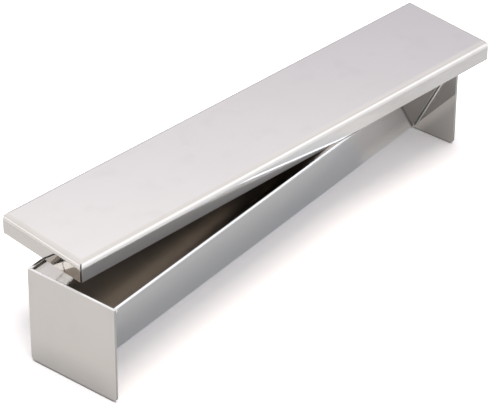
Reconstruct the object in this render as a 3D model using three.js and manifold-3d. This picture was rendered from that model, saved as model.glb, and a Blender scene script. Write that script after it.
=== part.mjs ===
// Triangle mould with a loose lid: folded and welded stainless steel sheet.
// Millimetres, +Z up. The trough runs along X and stands on the lower edges of its two end plates.
import * as THREE from "three";
import { mergeVertices } from "three/addons/utils/BufferGeometryUtils.js";
import Module from "manifold-3d";

// Mould
const MOULD_LENGTH = 296.4; // over the two end plates
const MOULD_WIDTH = 56.4; // over the two rims
const MOULD_HEIGHT = 58; // table to rim
const SHEET = 1.5; // trough and end plates
const FOLD_RADIUS = 2.5; // outside of the fold
const FOLD_LIFT = 1.7; // underside of the fold above the table
const PLATE_CORNER = 3.2; // rounding of the end plates' lower corners
const FIT_UP_GAP = 0.05; // left between trough and plates before welding

// Weld
const BEAD_LEG = 1.3; // bead height on the end plate
const BEAD_REACH = 1.8; // bead width along the wall
const BEAD_END = 0.8; // bare wall left above a bead
const TACK_REACH = 3; // tack width along the fold
const WELD_GAP = 0.1; // kept between a bead and the sheets it lies on

// Lid
const LID_DEPTH = 11.2; // outside height of its flanges
const LID_SHEET = 1.2;
const LID_BEND = 1.6; // outside radius of its bends
const LID_CLEARANCE = 0.6; // play between lid and mould on each side
const CORNER_SLIT = 0.8; // open seam between two flanges
const LID_TURN = -7.86; // degrees the lid lies askew on the rims
const LID_SHIFT_X = 11.4;
const LID_SHIFT_Y = 8;
const LID_GAP = 0.2; // flange edges above the rims

const wasm = await Module();
wasm.setup();

const AXIS_X = new THREE.Vector3(1, 0, 0);
const AXIS_Y = new THREE.Vector3(0, 1, 0);
const AXIS_Z = new THREE.Vector3(0, 0, 1);

// Sizes that follow from the ones above
const plateInside = MOULD_LENGTH / 2 - SHEET;
const foldCentre = FOLD_LIFT + FOLD_RADIUS;
const rimRise = MOULD_HEIGHT - foldCentre;
const rimReach = Math.hypot(MOULD_WIDTH / 2, rimRise);
const wallAngle = Math.atan2(rimRise, MOULD_WIDTH / 2) + Math.asin(FOLD_RADIUS / rimReach);
const wallLength = Math.sqrt(rimReach ** 2 - FOLD_RADIUS ** 2);
const rimWidth = SHEET / Math.sin(wallAngle);
const lidLength = MOULD_LENGTH + 2 * (LID_CLEARANCE + LID_SHEET);
const lidWidth = MOULD_WIDTH + 2 * (LID_CLEARANCE + LID_SHEET);

function steel(color, roughness) {
  return new THREE.MeshStandardMaterial({ color, roughness, metalness: 1 });
}

function mesh(name, geometry, material) {
  const made = new THREE.Mesh(geometry, material);
  made.name = name;
  return made;
}

// Closed geometry as a solid for cutting
function toSolid(geometry) {
  const bare = geometry.clone();
  bare.deleteAttribute("normal");
  bare.deleteAttribute("uv");
  const merged = mergeVertices(bare, 1e-4);
  return new wasm.Manifold(
    new wasm.Mesh({
      numProp: 3,
      vertProperties: merged.attributes.position.array,
      triVerts: new Uint32Array(merged.index.array),
    }),
  );
}

function toGeometry(solid) {
  const cut = solid.getMesh();
  const geometry = new THREE.BufferGeometry();
  geometry.setAttribute("position", new THREE.BufferAttribute(cut.vertProperties, 3));
  geometry.setIndex(new THREE.BufferAttribute(cut.triVerts, 1));
  const flat = geometry.toNonIndexed();
  flat.computeVertexNormals();
  return flat;
}

// A profile drawn in Y and Z, run along X from one place to another
function alongX(profile, from, to) {
  const geometry = new THREE.ExtrudeGeometry(profile, {
    depth: to - from,
    bevelEnabled: false,
    curveSegments: 12,
  });
  geometry.applyMatrix4(new THREE.Matrix4().makeBasis(AXIS_Y, AXIS_Z, AXIS_X));
  return geometry.translate(from, 0, 0);
}

// One folded sheet: two straight walls that leave the fold's arc at its tangents
function troughProfile() {
  const inside = FOLD_RADIUS - SHEET;
  const rimInside = MOULD_WIDTH / 2 - rimWidth;
  const turn = wallAngle - Math.PI / 2;
  const profile = new THREE.Shape();
  profile.moveTo(-rimInside, MOULD_HEIGHT);
  profile.lineTo(-MOULD_WIDTH / 2, MOULD_HEIGHT);
  profile.absarc(0, foldCentre, FOLD_RADIUS, -Math.PI - turn, turn, false);
  profile.lineTo(MOULD_WIDTH / 2, MOULD_HEIGHT);
  profile.lineTo(rimInside, MOULD_HEIGHT);
  profile.absarc(0, foldCentre, inside, turn, -Math.PI - turn, true);
  profile.closePath();
  return profile;
}

// Square upper corners meet the rims, rounded lower corners stand on the table
function plateProfile() {
  const half = MOULD_WIDTH / 2;
  const profile = new THREE.Shape();
  profile.moveTo(-half, MOULD_HEIGHT);
  profile.lineTo(-half, PLATE_CORNER);
  profile.absarc(-half + PLATE_CORNER, PLATE_CORNER, PLATE_CORNER, Math.PI, 1.5 * Math.PI, false);
  profile.lineTo(half - PLATE_CORNER, 0);
  profile.absarc(half - PLATE_CORNER, PLATE_CORNER, PLATE_CORNER, 1.5 * Math.PI, 2 * Math.PI, false);
  profile.lineTo(half, MOULD_HEIGHT);
  profile.closePath();
  return profile;
}

// Section of a bead in the corner between a wall and a plate: first along the wall, then off it
function beadProfile(reach) {
  const bulge = 0.7;
  const profile = new THREE.Shape();
  profile.moveTo(WELD_GAP, WELD_GAP);
  profile.lineTo(reach, WELD_GAP);
  profile.quadraticCurveTo(bulge * reach, bulge * BEAD_LEG, WELD_GAP, BEAD_LEG);
  profile.closePath();
  return profile;
}

// A straight bead under one wall, at the left (-1) or right (+1) plate, on the near (-1) or far (+1) side.
// Near the rim it is dressed flush with the plate's edge, so the lid slides down past it.
function bead(end, side) {
  const length = wallLength - BEAD_END - WELD_GAP;
  const geometry = new THREE.ExtrudeGeometry(beadProfile(BEAD_REACH), {
    depth: length,
    bevelEnabled: false,
    curveSegments: 6,
  });
  geometry.translate(0, 0, -length / 2);
  const inward = new THREE.Vector3(-end, 0, 0);
  const off = new THREE.Vector3(0, side * Math.sin(wallAngle), -Math.cos(wallAngle));
  const run = new THREE.Vector3().crossVectors(inward, off);
  const up = new THREE.Vector3(0, side * Math.cos(wallAngle), Math.sin(wallAngle));
  const middle = new THREE.Vector3(end * plateInside, 0, foldCentre);
  middle.addScaledVector(off, FOLD_RADIUS);
  middle.addScaledVector(up, WELD_GAP + length / 2);
  geometry.applyMatrix4(new THREE.Matrix4().makeBasis(inward, off, run));
  geometry.translate(middle.x, middle.y, middle.z);
  const outside = new THREE.BoxGeometry(2 * MOULD_LENGTH, MOULD_WIDTH, 2 * MOULD_HEIGHT);
  outside.translate(0, side * MOULD_WIDTH, 0);
  return toGeometry(toSolid(geometry).subtract(toSolid(outside)));
}

// The bead carried round the outside of the fold, from one wall to the other
function tack(end) {
  const section = beadProfile(TACK_REACH).getPoints(6).reverse();
  const ring = section.map((p) => new THREE.Vector2(FOLD_RADIUS + p.y, p.x));
  if (!ring[0].equals(ring[ring.length - 1])) {
    ring.push(ring[0].clone());
  }
  const round = new THREE.LatheGeometry(ring, 72);
  round.rotateZ((end * Math.PI) / 2);
  const reach = 3 * FOLD_RADIUS;
  const open = wallAngle - WELD_GAP / FOLD_RADIUS;
  const wedge = new THREE.Shape();
  wedge.moveTo(0, 0);
  wedge.lineTo(-reach * Math.sin(open), -reach * Math.cos(open));
  wedge.lineTo(0, -reach);
  wedge.lineTo(reach * Math.sin(open), -reach * Math.cos(open));
  wedge.closePath();
  const under = toSolid(alongX(wedge, -2 * TACK_REACH, 2 * TACK_REACH));
  const kept = toSolid(round).intersect(under);
  return toGeometry(kept).translate(end * plateInside, 0, foldCentre);
}

// A block with rounded upper edges, open ended below the flanges
function roundedBlock(length, width, top, radius) {
  const across = length / 2 - radius;
  const deep = width / 2 - radius;
  const outline = new THREE.Shape();
  outline.moveTo(-across, -deep);
  outline.lineTo(across, -deep);
  outline.lineTo(across, deep);
  outline.lineTo(-across, deep);
  outline.closePath();
  const depth = top + LID_DEPTH;
  const geometry = new THREE.ExtrudeGeometry(outline, {
    depth,
    bevelEnabled: true,
    bevelThickness: radius,
    bevelSize: radius,
    bevelSegments: 8,
  });
  return toSolid(geometry.translate(0, 0, top - depth - radius));
}

// A tray folded from one sheet: four flanges bent down, with an open seam at each corner
function lidGeometry() {
  const inside = LID_BEND - LID_SHEET;
  const inLength = lidLength - 2 * LID_SHEET;
  const inWidth = lidWidth - 2 * LID_SHEET;
  const below = new THREE.BoxGeometry(2 * lidLength, 2 * lidWidth, 4 * LID_DEPTH);
  below.translate(0, 0, -2 * LID_DEPTH);
  let tray = roundedBlock(lidLength, lidWidth, LID_DEPTH, LID_BEND);
  tray = tray.subtract(roundedBlock(inLength, inWidth, LID_DEPTH - LID_SHEET, inside));
  tray = tray.subtract(toSolid(below));
  const slitTop = LID_DEPTH - LID_BEND;
  for (const end of [-1, 1]) {
    for (const side of [-1, 1]) {
      const slit = new THREE.BoxGeometry(6 * LID_SHEET, CORNER_SLIT, 2 * slitTop);
      slit.rotateZ((end * side * Math.PI) / 4);
      slit.translate((end * lidLength) / 2, (side * lidWidth) / 2, 0);
      tray = tray.subtract(toSolid(slit));
    }
  }
  return toGeometry(tray);
}

const mould = new THREE.Group();
const troughEnd = plateInside - FIT_UP_GAP;
const plateOutside = plateInside + SHEET;
mould.add(mesh("trough", alongX(troughProfile(), -troughEnd, troughEnd), steel(0xc9c7c6, 0.3)));
mould.add(mesh("left_end_plate", alongX(plateProfile(), -plateOutside, -plateInside), steel(0xcac6c0, 0.34)));
mould.add(mesh("right_end_plate", alongX(plateProfile(), plateInside, plateOutside), steel(0xcac6c1, 0.34)));
mould.add(mesh("left_near_weld", bead(-1, -1), steel(0xd3d0cb, 0.42)));
mould.add(mesh("left_far_weld", bead(-1, 1), steel(0xd2cfca, 0.42)));
mould.add(mesh("right_near_weld", bead(1, -1), steel(0xd3d0ca, 0.42)));
mould.add(mesh("right_far_weld", bead(1, 1), steel(0xd2cfcb, 0.42)));
mould.add(mesh("left_apex_tack", tack(-1), steel(0xd4d1cc, 0.44)));
mould.add(mesh("right_apex_tack", tack(1), steel(0xd4d1cb, 0.44)));

const lid = new THREE.Group();
lid.add(mesh("lid", lidGeometry(), steel(0xd0cecd, 0.28)));
lid.rotation.z = THREE.MathUtils.degToRad(LID_TURN);
lid.position.set(LID_SHIFT_X, LID_SHIFT_Y, MOULD_HEIGHT + LID_GAP);

// The origin is under the middle of the whole part, on the table
const part = new THREE.Group();
part.name = "triangle_mould_with_lid";
part.add(mould, lid);
const box = new THREE.Box3().setFromObject(part, true);
part.position.set(-(box.min.x + box.max.x) / 2, -(box.min.y + box.max.y) / 2, -box.min.z);

export default part;
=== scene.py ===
"""Looks of a triangle mould with a loose lid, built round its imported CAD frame."""
import math

import bmesh
import bpy
from bpy.props import FloatProperty, FloatVectorProperty, PointerProperty
from mathutils import Euler, Matrix, Vector


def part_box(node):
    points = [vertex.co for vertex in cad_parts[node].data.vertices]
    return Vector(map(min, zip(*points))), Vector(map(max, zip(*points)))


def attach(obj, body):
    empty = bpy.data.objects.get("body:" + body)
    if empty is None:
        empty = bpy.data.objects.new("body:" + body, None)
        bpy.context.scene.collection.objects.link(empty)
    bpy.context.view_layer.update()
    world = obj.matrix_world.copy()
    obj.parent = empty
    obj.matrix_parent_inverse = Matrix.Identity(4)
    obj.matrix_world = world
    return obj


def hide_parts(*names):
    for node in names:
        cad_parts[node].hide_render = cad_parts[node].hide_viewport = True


bl_info = {
    "name": "Triangle Mould",
    "version": (1, 0, 0),
    "blender": (4, 5, 0),
    "location": "View3D > Sidebar > Mould",
    "description": "Dresses the folded steel mould and its lid, and sets the photograph's stage",
    "category": "Object",
}

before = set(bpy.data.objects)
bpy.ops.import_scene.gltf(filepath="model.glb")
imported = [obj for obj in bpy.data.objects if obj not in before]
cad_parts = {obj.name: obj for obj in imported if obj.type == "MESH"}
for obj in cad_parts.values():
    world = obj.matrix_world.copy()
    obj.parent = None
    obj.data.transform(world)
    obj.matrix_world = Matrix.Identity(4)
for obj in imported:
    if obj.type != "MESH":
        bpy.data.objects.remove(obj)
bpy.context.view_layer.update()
MM = 0.001

# Places taken from the solids, in metres
LEFT_OUT, LEFT_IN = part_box("left_end_plate")[0].x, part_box("left_end_plate")[1].x
RIGHT_IN, RIGHT_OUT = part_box("right_end_plate")[0].x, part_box("right_end_plate")[1].x
NEAR_Y, FAR_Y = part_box("trough")[0].y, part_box("trough")[1].y
RIM_Z, FOLD_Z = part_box("trough")[1].z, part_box("trough")[0].z
HALF_WIDE = (FAR_Y - NEAR_Y) / 2
MIDDLE_X, MIDDLE_Y = (LEFT_OUT + RIGHT_OUT) / 2, (NEAR_Y + FAR_Y) / 2
PLATE_X = (RIGHT_IN + RIGHT_OUT) / 2 - MIDDLE_X
LID_LOW, LID_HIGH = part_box("lid")
LID_MIDDLE = (LID_LOW + LID_HIGH) / 2


def length(name, description, default):
    """A length that a user may change."""
    return FloatProperty(name=name, description=description, default=default, min=0,
                         unit="LENGTH", precision=5)


def angle(name, description, degrees):
    """An angle, given in degrees."""
    return FloatProperty(name=name, description=description, default=math.radians(degrees),
                         subtype="ANGLE")


def share(name, description, default, high=1.0):
    """A plain number from nothing to high."""
    return FloatProperty(name=name, description=description, default=default, min=0, max=high,
                         subtype="FACTOR")


def tint(name, description, default):
    """A linear colour."""
    return FloatVectorProperty(name=name, description=description, default=default, min=0, max=1,
                               subtype="COLOR")


class MouldSizes(bpy.types.PropertyGroup):
    """Sizes of the folded trough, its end plates and the weld."""

    sheet: length("Sheet", "Thickness of the trough and the end plates", LEFT_IN - LEFT_OUT)
    fold_radius: length("Fold radius", "Outside radius of the trough's fold", 2.5 * MM)
    plate_corner: length("Plate corner", "Rounding of the end plates' lower corners", 3.2 * MM)
    edge_break: length("Edge break", "Rounding left on cut edges by deburring", 0.16 * MM)
    bead_leg: length("Bead leg", "Height of a bead off the wall", 1.1 * MM)
    bead_reach: length("Bead reach", "Width of a bead along the wall", 1.3 * MM)
    tack_reach: length("Tack reach", "Width of the weld under the fold", 3 * MM)
    ripple: length("Ripple", "Distance from one weld ripple to the next", 1.15 * MM)


class LidSizes(bpy.types.PropertyGroup):
    """Sizes of the folded lid."""

    long: length("Length", "Length over the end flanges", 300 * MM)
    wide: length("Width", "Width over the long flanges", 60 * MM)
    deep: length("Depth", "Outside height of the flanges", LID_HIGH.z - LID_LOW.z)
    sheet: length("Sheet", "Thickness of the lid", 1.2 * MM)
    bend: length("Bend", "Outside radius of the near and left bends", 3.6 * MM)
    far_bend: length("Far bend", "Outside radius of the far and right bends", 1.8 * MM)
    slit: length("Slit", "Open seam between two flanges", 0.8 * MM)
    lean: angle("Lean", "How far up the near flange is shaded to face, as if bent short", 2.5)
    turn: angle("Turn", "How far the lid lies askew", -7.86)


class SteelLook(bpy.types.PropertyGroup):
    """Colours and finish of the steel."""

    sheet_colour: tint("Sheet", "Colour of the polished sheet", (0.645, 0.614, 0.575))
    flange_colour: tint("Flange", "Colour of the lid's long flanges", (0.66, 0.64, 0.62))
    # Painted highlight: the long bends get a colour lighter than the sheet, standing in for the
    # bright band of light along each bend.
    bend_highlight_colour: tint("Bend", "Colour of the lid's long bends, rubbed bright", (0.80, 0.775, 0.745))
    # Painted shade: a near-black colour put deep in the lid's open corner seams, where there is
    # only shade.
    seam_colour: tint("Seam", "Colour deep in the lid's open corner seams", (0.07, 0.066, 0.06))
    mill_colour: tint("Mill side", "Colour of the lid's unpolished inside", (0.46, 0.39, 0.325))
    ground_colour: tint("Ground edge", "Colour of the plates' ground tops", (0.90, 0.89, 0.87))
    rim_colour: tint("Ground rim", "Colour of the trough's ground rims", (0.80, 0.79, 0.77))
    cut_colour: tint("Cut edge", "Colour of edges left as they were cut", (0.40, 0.39, 0.375))
    # The weld's near-white colour is partly the dressed weld and partly a painted highlight on the
    # beads and the tack.
    weld_colour: tint("Weld", "Colour of the dressed weld", (0.95, 0.935, 0.91))
    toe_colour: tint("Weld toe", "Colour of the scorched line beside a bead", (0.16, 0.15, 0.14))
    polish: share("Polish", "Roughness of the polished sheet", 0.045)
    haze: share("Mould haze", "Share of light that wear scatters from the mould", 0.05)
    inside_haze: share("Inside haze", "Share of light that wear scatters inside the trough", 0.09)
    lid_haze: share("Lid haze", "Share of light that wear scatters from the lid", 0.4)
    flange_haze: share("Flange haze", "Share of light that brushing scatters from flanges", 0.54)
    smear: share("Smears", "How much handling dulls the polish", 0.03)
    grain: share("Grain", "How much the rolling grain shows", 0.3)


class StageLook(bpy.types.PropertyGroup):
    """Floor, light and camera."""

    floor_colour: tint("Floor", "Colour of the floor", (0.94, 0.94, 0.94))
    floor_glow: share("Floor glow", "Share of plain white in the floor that is seen", 0.07)
    floor_white: share("Floor white", "How much lighter the floor is to the camera", 1.72, 2)
    room_light: share("Room", "Strength of the light from all round", 0.54, 4)
    key_light: share("Key", "Strength of the soft lamp overhead", 0.46, 4)
    tent_light: share("Tent", "Strength of the white tent that the steel mirrors", 1.0, 4)
    lens: FloatProperty(name="Lens", description="Focal length on a 36 mm wide frame",
                        default=209.93, unit="CAMERA")


class Wire:
    """A shader value: sums and products of wires add the Math nodes that work them out."""

    def __init__(self, nodes, socket):
        self.nodes = nodes
        self.socket = socket

    def math(self, operation, *values):
        """A Math node on these values."""
        return self.nodes.add("ShaderNodeMath", {"operation": operation}, dict(enumerate(values)))

    def __add__(self, other):
        return self.math("ADD", self, other)

    def __radd__(self, other):
        return self.math("ADD", other, self)

    def __sub__(self, other):
        return self.math("SUBTRACT", self, other)

    def __rsub__(self, other):
        return self.math("SUBTRACT", other, self)

    def __mul__(self, other):
        return self.math("MULTIPLY", self, other)

    def __rmul__(self, other):
        return self.math("MULTIPLY", other, self)

    def __abs__(self):
        return self.math("ABSOLUTE", self)

    def most(self, other):
        return self.math("MAXIMUM", self, other)

    def below(self, limit):
        return self.math("LESS_THAN", self, limit)

    def above(self, low, high):
        """0 below low, 1 above high, smooth between."""
        return self.nodes.add("ShaderNodeMapRange", {"interpolation_type": "SMOOTHSTEP"},
                              {"Value": self, "From Min": low, "From Max": high}, "Result")


class Nodes:
    """A node tree that is filled by one method."""

    def __init__(self, owner):
        owner.use_nodes = True
        self.tree = owner.node_tree
        self.tree.nodes.clear()

    def add(self, kind, settings=None, values=None, out=0):
        """Adds a node, sets its settings and then its sockets, and returns one of its outputs."""
        node = self.tree.nodes.new(kind)
        for key, value in (settings or {}).items():
            if key == "stops":
                ramp = node.color_ramp.elements
                while len(ramp) < len(value):
                    ramp.new(0.5)
                for element, (position, colour) in zip(ramp, value):
                    element.position = position
                    element.color = (*colour, 1)
            else:
                setattr(node, key, value)
        for key, value in (values or {}).items():
            if isinstance(value, Wire):
                self.tree.links.new(value.socket, node.inputs[key])
            else:
                node.inputs[key].default_value = value
        return Wire(self, node.outputs[out]) if node.outputs else None

    def noise(self, place, scale, detail):
        """Even noise about 0.5."""
        return self.add("ShaderNodeTexNoise", {},
                        {"Vector": place, "Scale": scale, "Detail": detail}, "Fac")

    def mix(self, share_of_b, a, b):
        """Colour a turning into colour b."""
        return self.add("ShaderNodeMix", {"data_type": "RGBA"}, {0: share_of_b, 6: a, 7: b}, 2)


def rgba(colour, gain=1.0):
    """A colour made lighter or darker by gain, with its alpha."""
    return (colour[0] * gain, colour[1] * gain, colour[2] * gain, 1)


# Polished sheet: patterns per metre, what they do to colour and polish, and heights of relief
GRAIN_LAY = (14, 900, 900)
SCRATCH_LAY, SCRATCH_TILT = (40, 1500, 1500), (0.3, 0.2, 0.5)
CLOUDS, SMEARS, WAVES = 22.0, 70.0, 16.0
SMEAR_EDGE, SCRATCH_EDGE = (0.52, 0.74), (0.7, 0.78)
CLOUD_WEAR, SMEAR_WEAR = 0.6, 0.4
CLEAN_GAIN, WORN_GAIN = 1.035, 0.955
SMEAR_DULLS, GRAIN_DULLS, SCRATCH_CUTS = 0.6, 0.12, 0.5
WAVE_HEIGHT, LINE_HEIGHT = 5e-5, 1.2e-6

# Steel left by a tool: clouds per metre, their light and dark, and how much the grit dulls
TARNISH, TARNISH_LIGHT, TARNISH_DARK, GRIT_DULLS = 150.0, 1.06, 0.9, 0.5

# Polished finishes: name, colour, haze, streaks, and whether the grain turns with the lid
POLISHED = (
    ("polished_sheet", "sheet_colour", "haze", 0.2, False),
    ("trough_inside", "sheet_colour", "inside_haze", 0.2, False),
    ("polished_lid", "sheet_colour", "lid_haze", 0.2, True),
    ("brushed_flange", "flange_colour", "flange_haze", 2.0, True),
    ("end_flange", "sheet_colour", "haze", 0.2, True),
    # A lighter copy of the lid's steel on the long bends: a painted highlight.
    ("rubbed_bend", "bend_highlight_colour", "lid_haze", 0.6, True),
)

# Finishes left by a tool, and painted shade: name, colour, roughness, grit per metre, its depth and
# share of metal
WORKED = (
    # Painted shade in the lid's open corner seams, not a finish left by a tool.
    ("open_seam", "seam_colour", 0.5, 1800.0, 4e-6, 1.0),
    ("mill_side", "mill_colour", 0.42, 1200.0, 3e-6, 1.0),
    ("ground_edge", "ground_colour", 0.3, 2600.0, 1e-6, 0.35),
    ("ground_rim", "rim_colour", 0.2, 2600.0, 1e-6, 1.0),
    ("cut_edge", "cut_colour", 0.34, 1800.0, 4e-6, 1.0),
    # Near white: partly the dressed weld, partly a painted highlight.
    ("dressed_weld", "weld_colour", 0.5, 900.0, 5e-6, 1.0),
    ("weld_toe", "toe_colour", 0.5, 1800.0, 4e-6, 1.0),
)


def polished_steel(name, colour, haze, streak, turn, look):
    """Bright rolled sheet: grain along its length, slow waves, cloudy smears and scratches."""
    n = Nodes(bpy.data.materials.new(name))
    place = n.add("ShaderNodeTexCoord", out="Object")
    lay = n.add("ShaderNodeMapping", {},
                {"Vector": place, "Rotation": (0, 0, turn), "Scale": GRAIN_LAY})
    grain = n.noise(lay, 1.0, detail=3.0) - 0.5
    cloud = n.noise(place, CLOUDS, detail=2.0)
    smear = n.noise(place, SMEARS, detail=4.0).above(*SMEAR_EDGE)
    tilt = (*SCRATCH_TILT[:2], turn + SCRATCH_TILT[2])
    across = n.add("ShaderNodeMapping", {},
                   {"Vector": place, "Rotation": tilt, "Scale": SCRATCH_LAY})
    scratch = n.noise(across, 1.0, detail=1.0).above(*SCRATCH_EDGE)
    worn = cloud * CLOUD_WEAR + smear * SMEAR_WEAR + grain * streak
    shade = n.mix(worn, rgba(colour, CLEAN_GAIN), rgba(colour, WORN_GAIN))
    handled = (cloud - 0.5) * look.smear + smear * (SMEAR_DULLS * look.smear)
    rough = look.polish + handled + grain * (GRAIN_DULLS * look.grain)
    wave = n.noise(place, WAVES, detail=1.0)
    slow = n.add("ShaderNodeBump", {}, {"Height": wave, "Strength": 1.0, "Distance": WAVE_HEIGHT})
    lines = grain * look.grain - scratch * SCRATCH_CUTS
    fine = n.add("ShaderNodeBump", {}, {"Height": lines, "Strength": 1.0,
                                        "Distance": LINE_HEIGHT, "Normal": slow})
    steel = n.add("ShaderNodeBsdfPrincipled", {}, {"Base Color": shade, "Metallic": 1 - haze,
                                                   "Roughness": rough, "Normal": fine})
    n.add("ShaderNodeOutputMaterial", {}, {"Surface": steel})


def worked_steel(name, colour, rough, grit, depth, metal):
    """Steel left by a tool: ground, cut or welded, with a grit of its own; it also makes the dark
    painted shade in the lid's seams.
    """
    n = Nodes(bpy.data.materials.new(name))
    place = n.add("ShaderNodeTexCoord", out="Object")
    marks = n.noise(place, grit, detail=3.0)
    cloud = n.noise(place, TARNISH, detail=2.0)
    shade = n.mix(cloud, rgba(colour, TARNISH_LIGHT), rgba(colour, TARNISH_DARK))
    dull = rough + (marks - 0.5) * (GRIT_DULLS * rough)
    bump = n.add("ShaderNodeBump", {}, {"Height": marks, "Strength": 1.0, "Distance": depth})
    steel = n.add("ShaderNodeBsdfPrincipled", {}, {"Base Color": shade, "Metallic": metal,
                                                   "Roughness": dull, "Normal": bump})
    n.add("ShaderNodeOutputMaterial", {}, {"Surface": steel})


def steels(scene, *names):
    """The finishes of these names; all of them are made at the first call and then shared."""
    look = scene.mould_steel
    made = bpy.data.materials
    if POLISHED[0][0] not in made:
        for name, colour, haze, streak, on_lid in POLISHED:
            turn = -scene.mould_lid.turn if on_lid else 0.0
            polished_steel(name, getattr(look, colour), getattr(look, haze), streak, turn, look)
        for name, colour, *finish in WORKED:
            worked_steel(name, getattr(look, colour), *finish)
    return [made[name] for name in names]


# Meshes: where points merge, which edges are broken, what faces squarely, and steps of arcs
MERGE = 1e-7
SHARP = math.radians(40)
SQUARE = 0.9
FOLD_STEPS, CORNER_STEPS = 20, 10


def flat_normals(mesh, lean):
    """Normals led by the large faces, so flat sheet mirrors flat.

    Those that face along lean tip up by its length.
    """
    total = [Vector((0, 0, 0)) for _ in mesh.vertices]
    for face in mesh.polygons:
        for corner in face.vertices:
            total[corner] += face.normal * face.area
    normals = [v.normalized() for v in total]
    if lean:
        for normal in normals:
            if normal.dot(lean.normalized()) > SQUARE:
                normal.z += lean.length
                normal.normalize()
    mesh.normals_split_custom_set_from_vertices(normals)


def dress(bm, name, node, body, materials, pick=None, break_by=0.0, lean=None):
    """Turns a finished bmesh into the piece that stands for a CAD node."""
    bmesh.ops.remove_doubles(bm, verts=bm.verts, dist=MERGE)
    bmesh.ops.recalc_face_normals(bm, faces=bm.faces)
    if break_by:
        sharp = [e for e in bm.edges if len(e.link_faces) == 2 and e.calc_face_angle(0) > SHARP]
        bmesh.ops.bevel(bm, geom=sharp, offset=break_by, segments=2, profile=0.5, affect="EDGES")
    for face in bm.faces:
        face.smooth = True
        if pick:
            face.material_index = pick(face)
    mesh = bpy.data.meshes.new(name)
    bm.to_mesh(mesh)
    bm.free()
    for material in materials:
        mesh.materials.append(material)
    flat_normals(mesh, lean)
    piece = bpy.data.objects.new(name, mesh)
    bpy.context.scene.collection.objects.link(piece)
    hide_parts(node)
    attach(piece, body)


def prism(outline, low, high):
    """A closed outline in Y and Z, run along X."""
    bm = bmesh.new()
    rings = [[bm.verts.new((x, y, z)) for y, z in outline] for x in (low, high)]
    bm.faces.new(rings[0][::-1])
    bm.faces.new(rings[1])
    for i in range(len(outline)):
        j = (i + 1) % len(outline)
        bm.faces.new((rings[0][i], rings[0][j], rings[1][j], rings[1][i]))
    return bm


def arc(centre, radius, start, end, steps):
    """Points round a circle in Y and Z, both ends included; 0 is +Y and a quarter turn is +Z."""
    points = []
    for i in range(steps + 1):
        a = start + (end - start) * i / steps
        points.append((centre[0] + radius * math.cos(a), centre[1] + radius * math.sin(a)))
    return points


def wall_rise(sizes):
    """Height of the rim above the fold's centre."""
    return RIM_Z - FOLD_Z - sizes.fold_radius


def wall_angle(sizes):
    """Slope of a wall that leaves the fold at its tangent and ends at the rim."""
    rise = wall_rise(sizes)
    tangent = math.asin(sizes.fold_radius / math.hypot(HALF_WIDE, rise))
    return math.atan2(rise, HALF_WIDE) + tangent


class MOULD_OT_trough(bpy.types.Operator):
    """Make the folded trough, polished outside, ground on its rims and duller inside"""

    bl_idname = "mould.trough"
    bl_label = "Trough"

    # The steepest normal of an outside face, and how far below the rim its faces reach
    FACES_OUT, RIM_DEPTH = 0.05, 0.1 * MM

    def execute(self, context):
        sizes = context.scene.mould_sizes
        slope = wall_angle(sizes)
        turn = slope - math.pi / 2
        centre = (MIDDLE_Y, FOLD_Z + sizes.fold_radius)
        rim = sizes.sheet / math.sin(slope)
        outline = [(NEAR_Y + rim, RIM_Z), (NEAR_Y, RIM_Z)]
        outline += arc(centre, sizes.fold_radius, -math.pi - turn, turn, FOLD_STEPS)
        outline += [(FAR_Y, RIM_Z), (FAR_Y - rim, RIM_Z)]
        outline += arc(centre, sizes.fold_radius - sizes.sheet, turn, -math.pi - turn, FOLD_STEPS)
        low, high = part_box("trough")
        finish = steels(context.scene, "polished_sheet", "ground_rim", "trough_inside")
        dress(prism(outline, low.x, high.x), "trough_sheet", "trough", "mould",
              finish, self.pick, sizes.edge_break)
        return {"FINISHED"}

    def pick(self, face):
        """Outside, rim or inside."""
        if face.normal.z < self.FACES_OUT:
            return 0
        at_rim = face.calc_center_median().z > RIM_Z - self.RIM_DEPTH
        return 1 if face.normal.z > SQUARE and at_rim else 2


class MOULD_OT_plates(bpy.types.Operator):
    """Make the two end plates that the mould stands on"""

    bl_idname = "mould.plates"
    bl_label = "End plates"

    # The least rise of an upper edge's normal
    FACES_UP = 0.3

    def execute(self, context):
        sizes = context.scene.mould_sizes
        r = sizes.plate_corner
        outline = [(FAR_Y, RIM_Z), (NEAR_Y, RIM_Z)]
        outline += arc((NEAR_Y + r, r), r, math.pi, 1.5 * math.pi, CORNER_STEPS)
        outline += arc((FAR_Y - r, r), r, 1.5 * math.pi, 2 * math.pi, CORNER_STEPS)
        finish = steels(context.scene, "polished_sheet", "ground_edge", "cut_edge")
        for side, low, high in (("left", LEFT_OUT, LEFT_IN), ("right", RIGHT_IN, RIGHT_OUT)):
            dress(prism(outline, low, high), side + "_plate_sheet", side + "_end_plate", "mould",
                  finish, self.pick, sizes.edge_break)
        return {"FINISHED"}

    def pick(self, face):
        """Flat side, upper edge or cut edge."""
        if abs(face.normal.x) > SQUARE:
            return 0
        return 1 if face.normal.z > self.FACES_UP else 2


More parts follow.
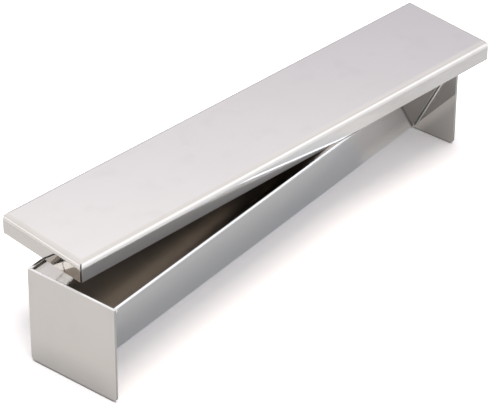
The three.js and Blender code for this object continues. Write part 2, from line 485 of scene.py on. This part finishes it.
class MOULD_OT_welds(bpy.types.Operator):
    """Make the rippled beads beside the end plates and the weld round the fold"""

    bl_idname = "mould.welds"
    bl_label = "Welds"

    # Room left round a bead, and below the rim where it stops
    GAP, RIM_GAP = 0.1 * MM, 0.8 * MM
    # Fullness of a bead's face, its points, rings to a ripple and rings of the tack
    CROWN, FACE_STEPS, RIPPLE_STEPS, TACK_STEPS = 0.7, 7, 5, 40
    # Strips of a straight bead's face that are scorched
    TOE = (1, 2)
    # Smallest swell and its rise: from ripple to ripple, slowly along a bead, and round the fold
    RIPPLE_SWELL, DRIFT_SWELL, TACK_SWELL = (0.93, 0.07), (0.97, 0.03), (0.9, 0.1)
    DRIFT_RATE, TACK_RATE = 410, 3.5
    # The tack's width at its ends, as a share, and what the middle adds
    TACK_WIDTH = (0.72, 0.28)

    def execute(self, context):
        sizes = context.scene.mould_sizes
        slope = wall_angle(sizes)
        bead = steels(context.scene, "dressed_weld", "weld_toe")
        for end, plate, inward in (("left", LEFT_IN, 1), ("right", RIGHT_IN, -1)):
            for side, sign in (("near", -1), ("far", 1)):
                name = end + "_" + side
                dress(self.straight(sizes, slope, plate, inward, sign), name + "_bead",
                      name + "_weld", "mould", bead)
            dress(self.round_fold(sizes, slope, plate, inward), end + "_fold_bead",
                  end + "_apex_tack", "mould", bead[:1])
        return {"FINISHED"}

    def section(self, reach, leg, swell):
        """Points of a bead's section: distance from the plate, then distance off the sheet."""
        gap, crown = self.GAP, self.CROWN
        points = [(gap, gap), (gap + (reach - gap) * swell, gap)]
        for i in range(1, self.FACE_STEPS):
            t = i / self.FACE_STEPS
            a = (1 - t) ** 2 * reach + 2 * t * (1 - t) * crown * reach + t * t * gap
            b = (1 - t) ** 2 * gap + 2 * t * (1 - t) * crown * leg + t * t * leg
            points.append((gap + (a - gap) * swell, gap + (b - gap) * swell))
        points.append((gap, gap + (leg - gap) * swell))
        return points

    def skin(self, rings, toe=()):
        """A closed tube through rings of points; strips named as toe get the second material."""
        bm = bmesh.new()
        loops = [[bm.verts.new(p) for p in ring] for ring in rings]
        count = len(loops[0])
        for one, two in zip(loops, loops[1:]):
            for i in range(count):
                j = (i + 1) % count
                strip = bm.faces.new((one[i], one[j], two[j], two[i]))
                strip.material_index = int(i in toe)
        bm.faces.new(loops[0][::-1])
        bm.faces.new(loops[-1])
        return bm

    def straight(self, sizes, slope, plate, inward, sign):
        """A bead up one wall, its face rippled and swelling slowly."""
        off = Vector((0, sign * math.sin(slope), -math.cos(slope)))
        up = Vector((0, sign * math.cos(slope), math.sin(slope)))
        foot = Vector((plate, MIDDLE_Y, FOLD_Z + sizes.fold_radius)) + off * sizes.fold_radius
        run = math.sqrt(HALF_WIDE ** 2 + wall_rise(sizes) ** 2 - sizes.fold_radius ** 2)
        low, high = self.GAP, run - self.RIM_GAP
        steps = int((high - low) / (sizes.ripple / self.RIPPLE_STEPS))
        rings = []
        for i in range(steps + 1):
            s = low + (high - low) * i / steps
            least, rise = self.RIPPLE_SWELL
            swell = least + rise * abs(math.sin(math.pi * s / sizes.ripple))
            least, rise = self.DRIFT_SWELL
            swell *= least + rise * math.sin(s * self.DRIFT_RATE + sign + 2 * inward)
            ring = []
            for a, b in self.section(sizes.bead_reach, sizes.bead_leg, swell):
                p = foot + up * s + off * b + Vector((inward * a, 0, 0))
                p.y = min(max(p.y, NEAR_Y), FAR_Y)
                ring.append(p)
            rings.append(ring)
        return self.skin(rings, self.TOE)

    def round_fold(self, sizes, slope, plate, inward):
        """The tack, a bead from wall to wall under the fold, widest in its middle."""
        centre = Vector((plate, MIDDLE_Y, FOLD_Z + sizes.fold_radius))
        span = slope - self.GAP / sizes.fold_radius
        rings = []
        for i in range(self.TACK_STEPS + 1):
            a = -span + 2 * span * i / self.TACK_STEPS
            least, rise = self.TACK_SWELL
            swell = least + rise * abs(math.sin(self.TACK_RATE * a))
            ends, middle = self.TACK_WIDTH
            reach = sizes.tack_reach * (ends + middle * math.cos(a))
            out = Vector((0, math.sin(a), -math.cos(a)))
            rings.append([centre + out * (sizes.fold_radius + b) + Vector((inward * d, 0, 0))
                          for d, b in self.section(reach, sizes.bead_leg, swell)])
        return self.skin(rings)


class MOULD_OT_lid(bpy.types.Operator):
    """Make the lid, a tray folded from one sheet with open corner seams"""

    bl_idname = "mould.lid"
    bl_label = "Lid"

    FINISH = ("polished_lid", "brushed_flange", "end_flange", "open_seam", "cut_edge", "mill_side",
              "rubbed_bend")
    TOP, LONG_FLANGE, END_FLANGE, SEAM, CUT, INSIDE, LONG_BEND = range(len(FINISH))
    # Limits on a face's normal and place that tell one finish from the next
    SEAM_SLANT, SEAM_TOP = 0.4, 0.5 * MM
    CUT_FACES, CUT_TOP = -0.3, 0.3 * MM
    BEND_FACES, TOP_FACES = 0.25, 0.8
    # Rounding of edges, rows round a bend, rows that stay joined, and width of the corner strips
    EDGE_BREAK = 0.18 * MM
    BEND_STEPS, JOINED, CORNER_STRIP = 16, 7, 1.2 * MM
    # How far a flange's end is set back on the inside of the sheet, where the seam nearly closes
    INNER_GAP = 0.1 * MM

    def execute(self, context):
        lid = context.scene.mould_lid
        bm = self.tray(lid)
        place = (Matrix.Translation((LID_MIDDLE.x, LID_MIDDLE.y, LID_LOW.z))
                 @ Matrix.Rotation(lid.turn, 4, "Z"))
        bmesh.ops.transform(bm, matrix=place, verts=bm.verts)
        back = place.inverted()

        def pick(face):
            return self.finish(lid, back @ face.calc_center_median(), back.to_3x3() @ face.normal)

        near = place.to_3x3() @ Vector((0, -math.tan(lid.lean), 0))
        dress(bm, "lid_sheet", "lid", "lid", steels(context.scene, *self.FINISH),
              pick, self.EDGE_BREAK, near)
        return {"FINISHED"}

    def finish(self, lid, at, n):
        """The finish of a face, from its place and normal on a lid that lies straight."""
        on_end = lid.long / 2 - abs(at.x) < lid.wide / 2 - abs(at.y)
        out = math.copysign(n.x, n.x * at.x) if on_end else math.copysign(n.y, n.y * at.y)
        if min(abs(n.x), abs(n.y)) > self.SEAM_SLANT and at.z < lid.deep - self.SEAM_TOP:
            # Seam faces take the near-black painted shade.
            return self.SEAM
        if n.z < self.CUT_FACES and at.z < self.CUT_TOP:
            return self.CUT
        if out + n.z < 0:
            return self.INSIDE
        if n.z > self.BEND_FACES:
            # Faces on the long bends take the lighter material, a painted highlight.
            return self.TOP if n.z > self.TOP_FACES or on_end else self.LONG_BEND
        return self.END_FLANGE if on_end else self.LONG_FLANGE

    def inset(self, radius, skin, drop):
        """How far a face of the sheet lies in from the flange's outside, at a drop from the top."""
        level = max(radius - drop, 0)
        return radius - math.sqrt(max((radius - skin) ** 2 - level ** 2, 0))

    def tray(self, lid):
        """The folded sheet, its corners open from the lower edges to just under the top."""
        bm = bmesh.new()
        widest = max(lid.bend, lid.far_bend)
        steps = self.BEND_STEPS
        curve = [1 - math.cos(math.pi / 2 * i / steps) for i in range(steps + 1)]
        near, right, far, left = lid.bend, lid.far_bend, lid.far_bend, lid.bend
        long, wide = lid.long / 2, lid.wide / 2
        tops = ([], [])
        for along, out, reach, depth, own, before, after in (
            (Vector((1, 0, 0)), Vector((0, -1, 0)), long, wide, near, left, right),
            (Vector((0, 1, 0)), Vector((1, 0, 0)), wide, long, right, near, far),
            (Vector((-1, 0, 0)), Vector((0, 1, 0)), long, wide, far, right, left),
            (Vector((0, -1, 0)), Vector((-1, 0, 0)), wide, long, left, far, near),
        ):
            skins = []
            for skin, gap, top in ((0.0, lid.slit / math.sqrt(2), tops[0]),
                                   (lid.sheet, self.INNER_GAP, tops[1])):
                rows = []
                for i, drop in enumerate([skin + (widest - skin) * c for c in curve] + [lid.deep]):
                    setback = gap if i > self.JOINED else 0
                    low = self.inset(before, skin, drop) + setback - reach
                    high = reach - self.inset(after, skin, drop) - setback
                    shift = out * (depth - self.inset(own, skin, drop))
                    shift += Vector((0, 0, lid.deep - drop))
                    runs = (low, low + self.CORNER_STRIP, high - self.CORNER_STRIP, high)
                    rows.append([bm.verts.new(along * run + shift) for run in runs])
                for a, b in zip(rows, rows[1:]):
                    for j in range(3):
                        bm.faces.new((a[j], a[j + 1], b[j + 1], b[j]))
                top += rows[0][:3]
                skins.append(rows)
            outer, inner = skins
            for end in (0, 3):
                for i in range(self.JOINED, len(outer) - 1):
                    bm.faces.new((outer[i][end], outer[i + 1][end],
                                  inner[i + 1][end], inner[i][end]))
            for j in range(3):
                bm.faces.new((outer[-1][j], outer[-1][j + 1], inner[-1][j + 1], inner[-1][j]))
        for top in tops:
            bm.faces.new(top)
        return bm


# Camera, fitted to the straight edges in the photograph: metres, degrees and millimetres
CAMERA_PLACE, CAMERA_TURN = (-0.993976, -0.765554, 0.905874), (54.813, -0.34, -52.0044)
SENSOR_WIDTH, CLIP_START, CLIP_END = 36, 0.05, 40
BOUNCES = 24

# Light that the steel scatters: the room's colour, and the overhead box
WHITE = (1, 1, 1, 1)
ROOM_COLOUR = (0.94, 0.975, 1.07, 1)
BOX_COLOUR, BOX_SIZE, BOX_PLACE, BOX_WATTS = (1.0, 0.94, 0.86), 1.6, (0.0, -0.3, 3), 100

# Glossy Depth between the first mirroring and the next
TWICE = (1.4, 1.6)

# Floor: its disc, where it fades to white, and its tint to the camera
FLOOR_RADIUS, FLOOR_SIDES = 7, 96
FADE = (1.0, 2.5)
SHOWN_TINT = (1.03, 0.994, 0.972)

# Floor as the steel mirrors it: where it starts to be far from the mould, and its gain there, a
# painted light that lightens it away from the mould
BESIDE_X, BESIDE_Y, FAR_RUN, FAR_LIGHT_GAIN = 0.16, 0.05, (0.09, 0.3), 1.6
# Its painted light, tinted cool, between the plates, left to right as the near wall mirrors it
UNDER_RUN = (0.15, 0.16)
WALL_RUN, WALL_LIGHT_GAINS = (0.03, 0.1), ((1.0, 1.05, 1.09, 1), (1.13, 1.17, 1.22, 1))
# Its painted light and shade by the right plate: lighter, then darker towards the plate, painted
# light under the fold, and painted shade where mirrored twice
PLATE_START = (0.085, 0.1)
PLATE_RUN, PLATE_LIGHT_AND_SHADE = (0.108, 0.142), ((1.21, 1.19, 1.17, 1), (0.9, 0.88, 0.86, 1))
FOLD_RUN, FOLD_PAINTED_LIGHT = (-0.017, -0.0085), (1.72, 1.66, 1.58, 1)
TWICE_PAINTED_SHADE = (0.88, 0.86, 0.87, 1)
# Painted contact shadow: the dark line where the plates' feet meet it
FOOT_RUN, FOOT_END, FOOT_SHADOW_GAIN = (0.9 * MM, 2.4 * MM), 3 * MM, 0.3

# Tent: height of a direction, 0 level and 1 overhead, and the linear colour of the cloth there
LOW_CLOTH = (
    (0.0, (0.24, 0.24, 0.28)),
    (0.44, (0.5, 0.5, 0.58)),
    (0.525, (0.84, 0.84, 0.98)),
    (0.555, (1.14, 1.15, 1.28)),
    (0.582, (1.4, 1.4, 1.52)),
    (0.605, (1.58, 1.59, 1.7)),
)
HIGH_CLOTH = ((0.63, (1.46, 1.47, 1.54)), (0.68, (1.34, 1.34, 1.38)), (0.8, (1.28, 1.28, 1.32)))
TWICE_CLOTH = ((0.643, (1.72, 1.78, 2.0)), (0.72, (1.5, 1.52, 1.6)), (0.86, (1.2, 1.2, 1.24)))
SIDE_CLOTH = ((0.0, (0.85, 0.85, 0.86)), (0.35, (1.05, 1.05, 1.08)), (0.7, (1.28, 1.28, 1.32)))

# Where the cloth behind the mould begins: azimuth in degrees, and cosines of the angle from it
BEHIND, BEHIND_EDGE = 40, (0.25, 0.6)
# A duller band of cloth beside the lamp, between two heights
DULL_SIDE, DULL_EDGE, DULL_COLOUR = -61, (0.0, 0.06), (1.0, 1.0, 1.04, 1)
DULL_LOW, DULL_HIGH = (0.56, 0.6), (0.72, 0.79)
# The tall lamp on the near side: its line, its side and its top
LAMP_ACROSS, LAMP_WIDTH = 25, (0.2, 0.26)
LAMP_SIDE, LAMP_EDGE, LAMP_TOP = -65, (0.3, 0.4), (0.68, 0.74)
# Its foot and colour when mirrored once, and when mirrored twice, low down and high up
LAMP_FOOT, LAMP_COLOUR = (0.12, 0.2), (1.47, 1.5, 1.55, 1)
TWICE_FOOT, TWICE_RISE = (0.0, 0.06), (0.4, 0.58)
TWICE_LAMP_LOW, TWICE_LAMP_HIGH = (3.05, 3.25, 3.6, 1), (4.3, 4.7, 5.3, 1)
# Round patches: azimuth and elevation, degrees from the middle to where each begins and is full
LEFT_LAMP, LEFT_LAMP_EDGE, LEFT_LAMP_COLOUR = (134, 16), (12, 9), (1.75, 1.75, 1.72, 1)
DARK_GAP, DARK_GAP_EDGE, DARK_GAP_COLOUR = (117, 43), (24, 17), (0.01, 0.01, 0.01, 1)


class MOULD_OT_stage(bpy.types.Operator):
    """Set out the floor, the light and the camera"""

    bl_idname = "mould.stage"
    bl_label = "Stage"

    def execute(self, context):
        scene = context.scene
        look = scene.mould_stage
        self.floor(scene, look)
        self.light(scene, look)
        self.camera(scene, look)
        scene.view_settings.view_transform = "Standard"
        scene.cycles.max_bounces = BOUNCES
        scene.cycles.glossy_bounces = BOUNCES
        return {"FINISHED"}

    def seen(self, n):
        """1 for rays from the camera, and 1 for those that steel mirrors or glass lets through."""
        camera = n.add("ShaderNodeLightPath", out="Is Camera Ray")
        glossy = n.add("ShaderNodeLightPath", out="Is Glossy Ray")
        through = n.add("ShaderNodeLightPath", out="Is Transmission Ray")
        scattered = n.add("ShaderNodeLightPath", out="Diffuse Depth")
        return camera, glossy.most(through) * scattered.below(0.5)

    def twice(self, n):
        """1 for rays that have been mirrored more than once."""
        return n.add("ShaderNodeLightPath", out="Glossy Depth").above(*TWICE)

    def floor(self, scene, look):
        """A pale disc that keeps the shadow and fades to white far off."""
        bm = bmesh.new()
        bmesh.ops.create_circle(bm, cap_ends=True, radius=FLOOR_RADIUS, segments=FLOOR_SIDES)
        mesh = bpy.data.meshes.new("floor")
        bm.to_mesh(mesh)
        bm.free()
        floor = bpy.data.objects.new("floor", mesh)
        scene.collection.objects.link(floor)
        made = bpy.data.materials.new("pale_floor")
        n = Nodes(made)
        camera, mirrored = self.seen(n)
        place = n.add("ShaderNodeTexCoord", out="Object")
        x = n.add("ShaderNodeSeparateXYZ", {}, {"Vector": place}, "X")
        y = n.add("ShaderNodeSeparateXYZ", {}, {"Vector": place}, "Y")
        plain = rgba(look.floor_colour)
        shown = rgba([look.floor_white * a * b for a, b in zip(SHOWN_TINT, look.floor_colour)])
        colour = n.mix(mirrored, plain, self.mirrored_floor(n, x, y, look))
        colour = n.mix(camera, colour, shown)
        paper = n.add("ShaderNodeBsdfPrincipled", {}, {
            "Base Color": colour, "Roughness": 1.0, "Specular IOR Level": 0.0})
        glow = n.add("ShaderNodeEmission", {}, {"Color": WHITE, "Strength": 1.0})
        far = abs(x).most(abs(y)).above(*FADE)
        faded = ((camera + mirrored) * look.floor_glow).most(camera * far)
        mixed = n.add("ShaderNodeMixShader", {}, {0: faded, 1: paper, 2: glow})
        n.add("ShaderNodeOutputMaterial", {}, {"Surface": mixed})
        mesh.materials.append(made)

    def mirrored_floor(self, n, x, y, look):
        """The floor's colour in the steel, painted with light and shade: lighter and darker patches
        near the mould, a painted contact shadow at the plates' feet, and lighter away from it.
        """
        # Painted light and shade by the right plate and under the fold.
        by_plate = n.mix(x.above(*PLATE_RUN), *PLATE_LIGHT_AND_SHADE)
        by_plate = n.mix(y.above(*FOLD_RUN), by_plate, FOLD_PAINTED_LIGHT)
        by_plate = n.mix(self.twice(n), by_plate, TWICE_PAINTED_SHADE)
        # Painted light along the near wall.
        by_wall = n.mix(x.above(*WALL_RUN), *WALL_LIGHT_GAINS)
        under = n.mix(x.above(*PLATE_START), by_wall, by_plate)
        near = n.mix(1 - abs(x).above(*UNDER_RUN), rgba(look.floor_colour), under)
        # Painted light: the mirrored floor grows lighter away from the mould.
        away = (abs(x) - BESIDE_X).most(abs(y) - BESIDE_Y).above(*FAR_RUN)
        sweep = n.mix(away, near, rgba(look.floor_colour, FAR_LIGHT_GAIN))
        # Painted contact shadow along the plates' feet.
        along = 1 - abs(abs(x - MIDDLE_X) - PLATE_X).above(*FOOT_RUN)
        across = 1 - abs(y - MIDDLE_Y).above(HALF_WIDE, HALF_WIDE + FOOT_END)
        return n.mix(along * across, sweep, rgba(look.floor_colour, FOOT_SHADOW_GAIN))

    def light(self, scene, look):
        """An even room and one overhead box for what scatters, and a tent for what is mirrored."""
        world = bpy.data.worlds.new("white_tent")
        scene.world = world
        n = Nodes(world)
        place = n.add("ShaderNodeTexCoord", out="Generated")
        camera, mirrored = self.seen(n)
        tent = n.mix(camera, self.tent(n, place), WHITE)
        room = n.add("ShaderNodeBackground", {},
                     {"Color": ROOM_COLOUR, "Strength": look.room_light})
        shown = n.add("ShaderNodeBackground", {}, {"Color": tent, "Strength": look.tent_light})
        mixed = n.add("ShaderNodeMixShader", {}, {0: camera + mirrored, 1: room, 2: shown})
        n.add("ShaderNodeOutputWorld", {}, {"Surface": mixed})
        data = bpy.data.lights.new("overhead_box", "AREA")
        data.shape = "SQUARE"
        data.size = BOX_SIZE
        data.color = BOX_COLOUR
        data.energy = look.key_light * BOX_WATTS
        lamp = bpy.data.objects.new("overhead_box", data)
        lamp.location = BOX_PLACE
        lamp.visible_glossy = False
        scene.collection.objects.link(lamp)

    def tent(self, n, place):
        """White cloth, greyer low down behind the mould, with two lamps and a dark gap."""
        height = n.add("ShaderNodeSeparateXYZ", {}, {"Vector": place}, "Z")
        twice = self.twice(n)

        def cloth_of(stops):
            return n.add("ShaderNodeValToRGB", {"stops": stops}, {"Fac": height})

        def towards(azimuth, elevation=0):
            """Cosine of the angle from a direction."""
            a, e = math.radians(azimuth), math.radians(elevation)
            way = (math.cos(a) * math.cos(e), math.sin(a) * math.cos(e), math.sin(e))
            return n.add("ShaderNodeVectorMath", {"operation": "DOT_PRODUCT"},
                         {0: place, 1: way}, "Value")

        def patch(middle, edge):
            """1 in a round patch of the tent."""
            return towards(*middle).above(*(math.cos(math.radians(a)) for a in edge))

        behind = n.mix(twice, cloth_of(LOW_CLOTH + HIGH_CLOTH), cloth_of(LOW_CLOTH + TWICE_CLOTH))
        lit = n.mix(towards(BEHIND).above(*BEHIND_EDGE), cloth_of(SIDE_CLOTH), behind)
        dull = towards(DULL_SIDE).above(*DULL_EDGE) * height.above(*DULL_LOW)
        dull = dull * (1 - height.above(*DULL_HIGH)) * (1 - twice)
        lit = n.mix(dull, lit, DULL_COLOUR)
        lamp = (1 - abs(towards(LAMP_ACROSS)).above(*LAMP_WIDTH)) * (1 - height.above(*LAMP_TOP))
        lamp = lamp * towards(LAMP_SIDE).above(*LAMP_EDGE)
        lit = n.mix(lamp * height.above(*LAMP_FOOT), lit, LAMP_COLOUR)
        bright = n.mix(height.above(*TWICE_RISE), TWICE_LAMP_LOW, TWICE_LAMP_HIGH)
        lit = n.mix(lamp * height.above(*TWICE_FOOT) * twice, lit, bright)
        lit = n.mix(patch(LEFT_LAMP, LEFT_LAMP_EDGE), lit, LEFT_LAMP_COLOUR)
        return n.mix(patch(DARK_GAP, DARK_GAP_EDGE) * twice, lit, DARK_GAP_COLOUR)

    def camera(self, scene, look):
        """The photograph's own view."""
        data = bpy.data.cameras.new("photo_camera")
        data.sensor_fit = "HORIZONTAL"
        data.sensor_width = SENSOR_WIDTH
        data.lens = look.lens
        data.clip_start = CLIP_START
        data.clip_end = CLIP_END
        camera = bpy.data.objects.new("photo_camera", data)
        camera.location = CAMERA_PLACE
        camera.rotation_euler = Euler([math.radians(a) for a in CAMERA_TURN])
        scene.collection.objects.link(camera)
        scene.camera = camera


class MOULD_PT_side(bpy.types.Panel):
    """Pieces of the mould, in the 3D view's sidebar"""

    bl_label = "Triangle Mould"
    bl_idname = "MOULD_PT_side"
    bl_space_type = "VIEW_3D"
    bl_region_type = "UI"
    bl_category = "Mould"

    def draw(self, context):
        for name, group in GROUPS:
            box = self.layout.box()
            for key in group.__annotations__:
                box.prop(getattr(context.scene, name), key)
        for operator in OPERATORS:
            self.layout.operator(operator.bl_idname)


GROUPS = (
    ("mould_sizes", MouldSizes),
    ("mould_lid", LidSizes),
    ("mould_steel", SteelLook),
    ("mould_stage", StageLook),
)
OPERATORS = (MOULD_OT_trough, MOULD_OT_plates, MOULD_OT_welds, MOULD_OT_lid, MOULD_OT_stage)


def register():
    for key, group in GROUPS:
        bpy.utils.register_class(group)
        setattr(bpy.types.Scene, key, PointerProperty(type=group))
    for cls in (*OPERATORS, MOULD_PT_side):
        bpy.utils.register_class(cls)


def unregister():
    for cls in (MOULD_PT_side, *reversed(OPERATORS)):
        bpy.utils.unregister_class(cls)
    for key, group in reversed(GROUPS):
        delattr(bpy.types.Scene, key)
        bpy.utils.unregister_class(group)


def main():
    register()
    bpy.ops.mould.trough()
    bpy.ops.mould.plates()
    bpy.ops.mould.welds()
    bpy.ops.mould.lid()
    bpy.ops.mould.stage()


if __name__ == "__main__":
    main()
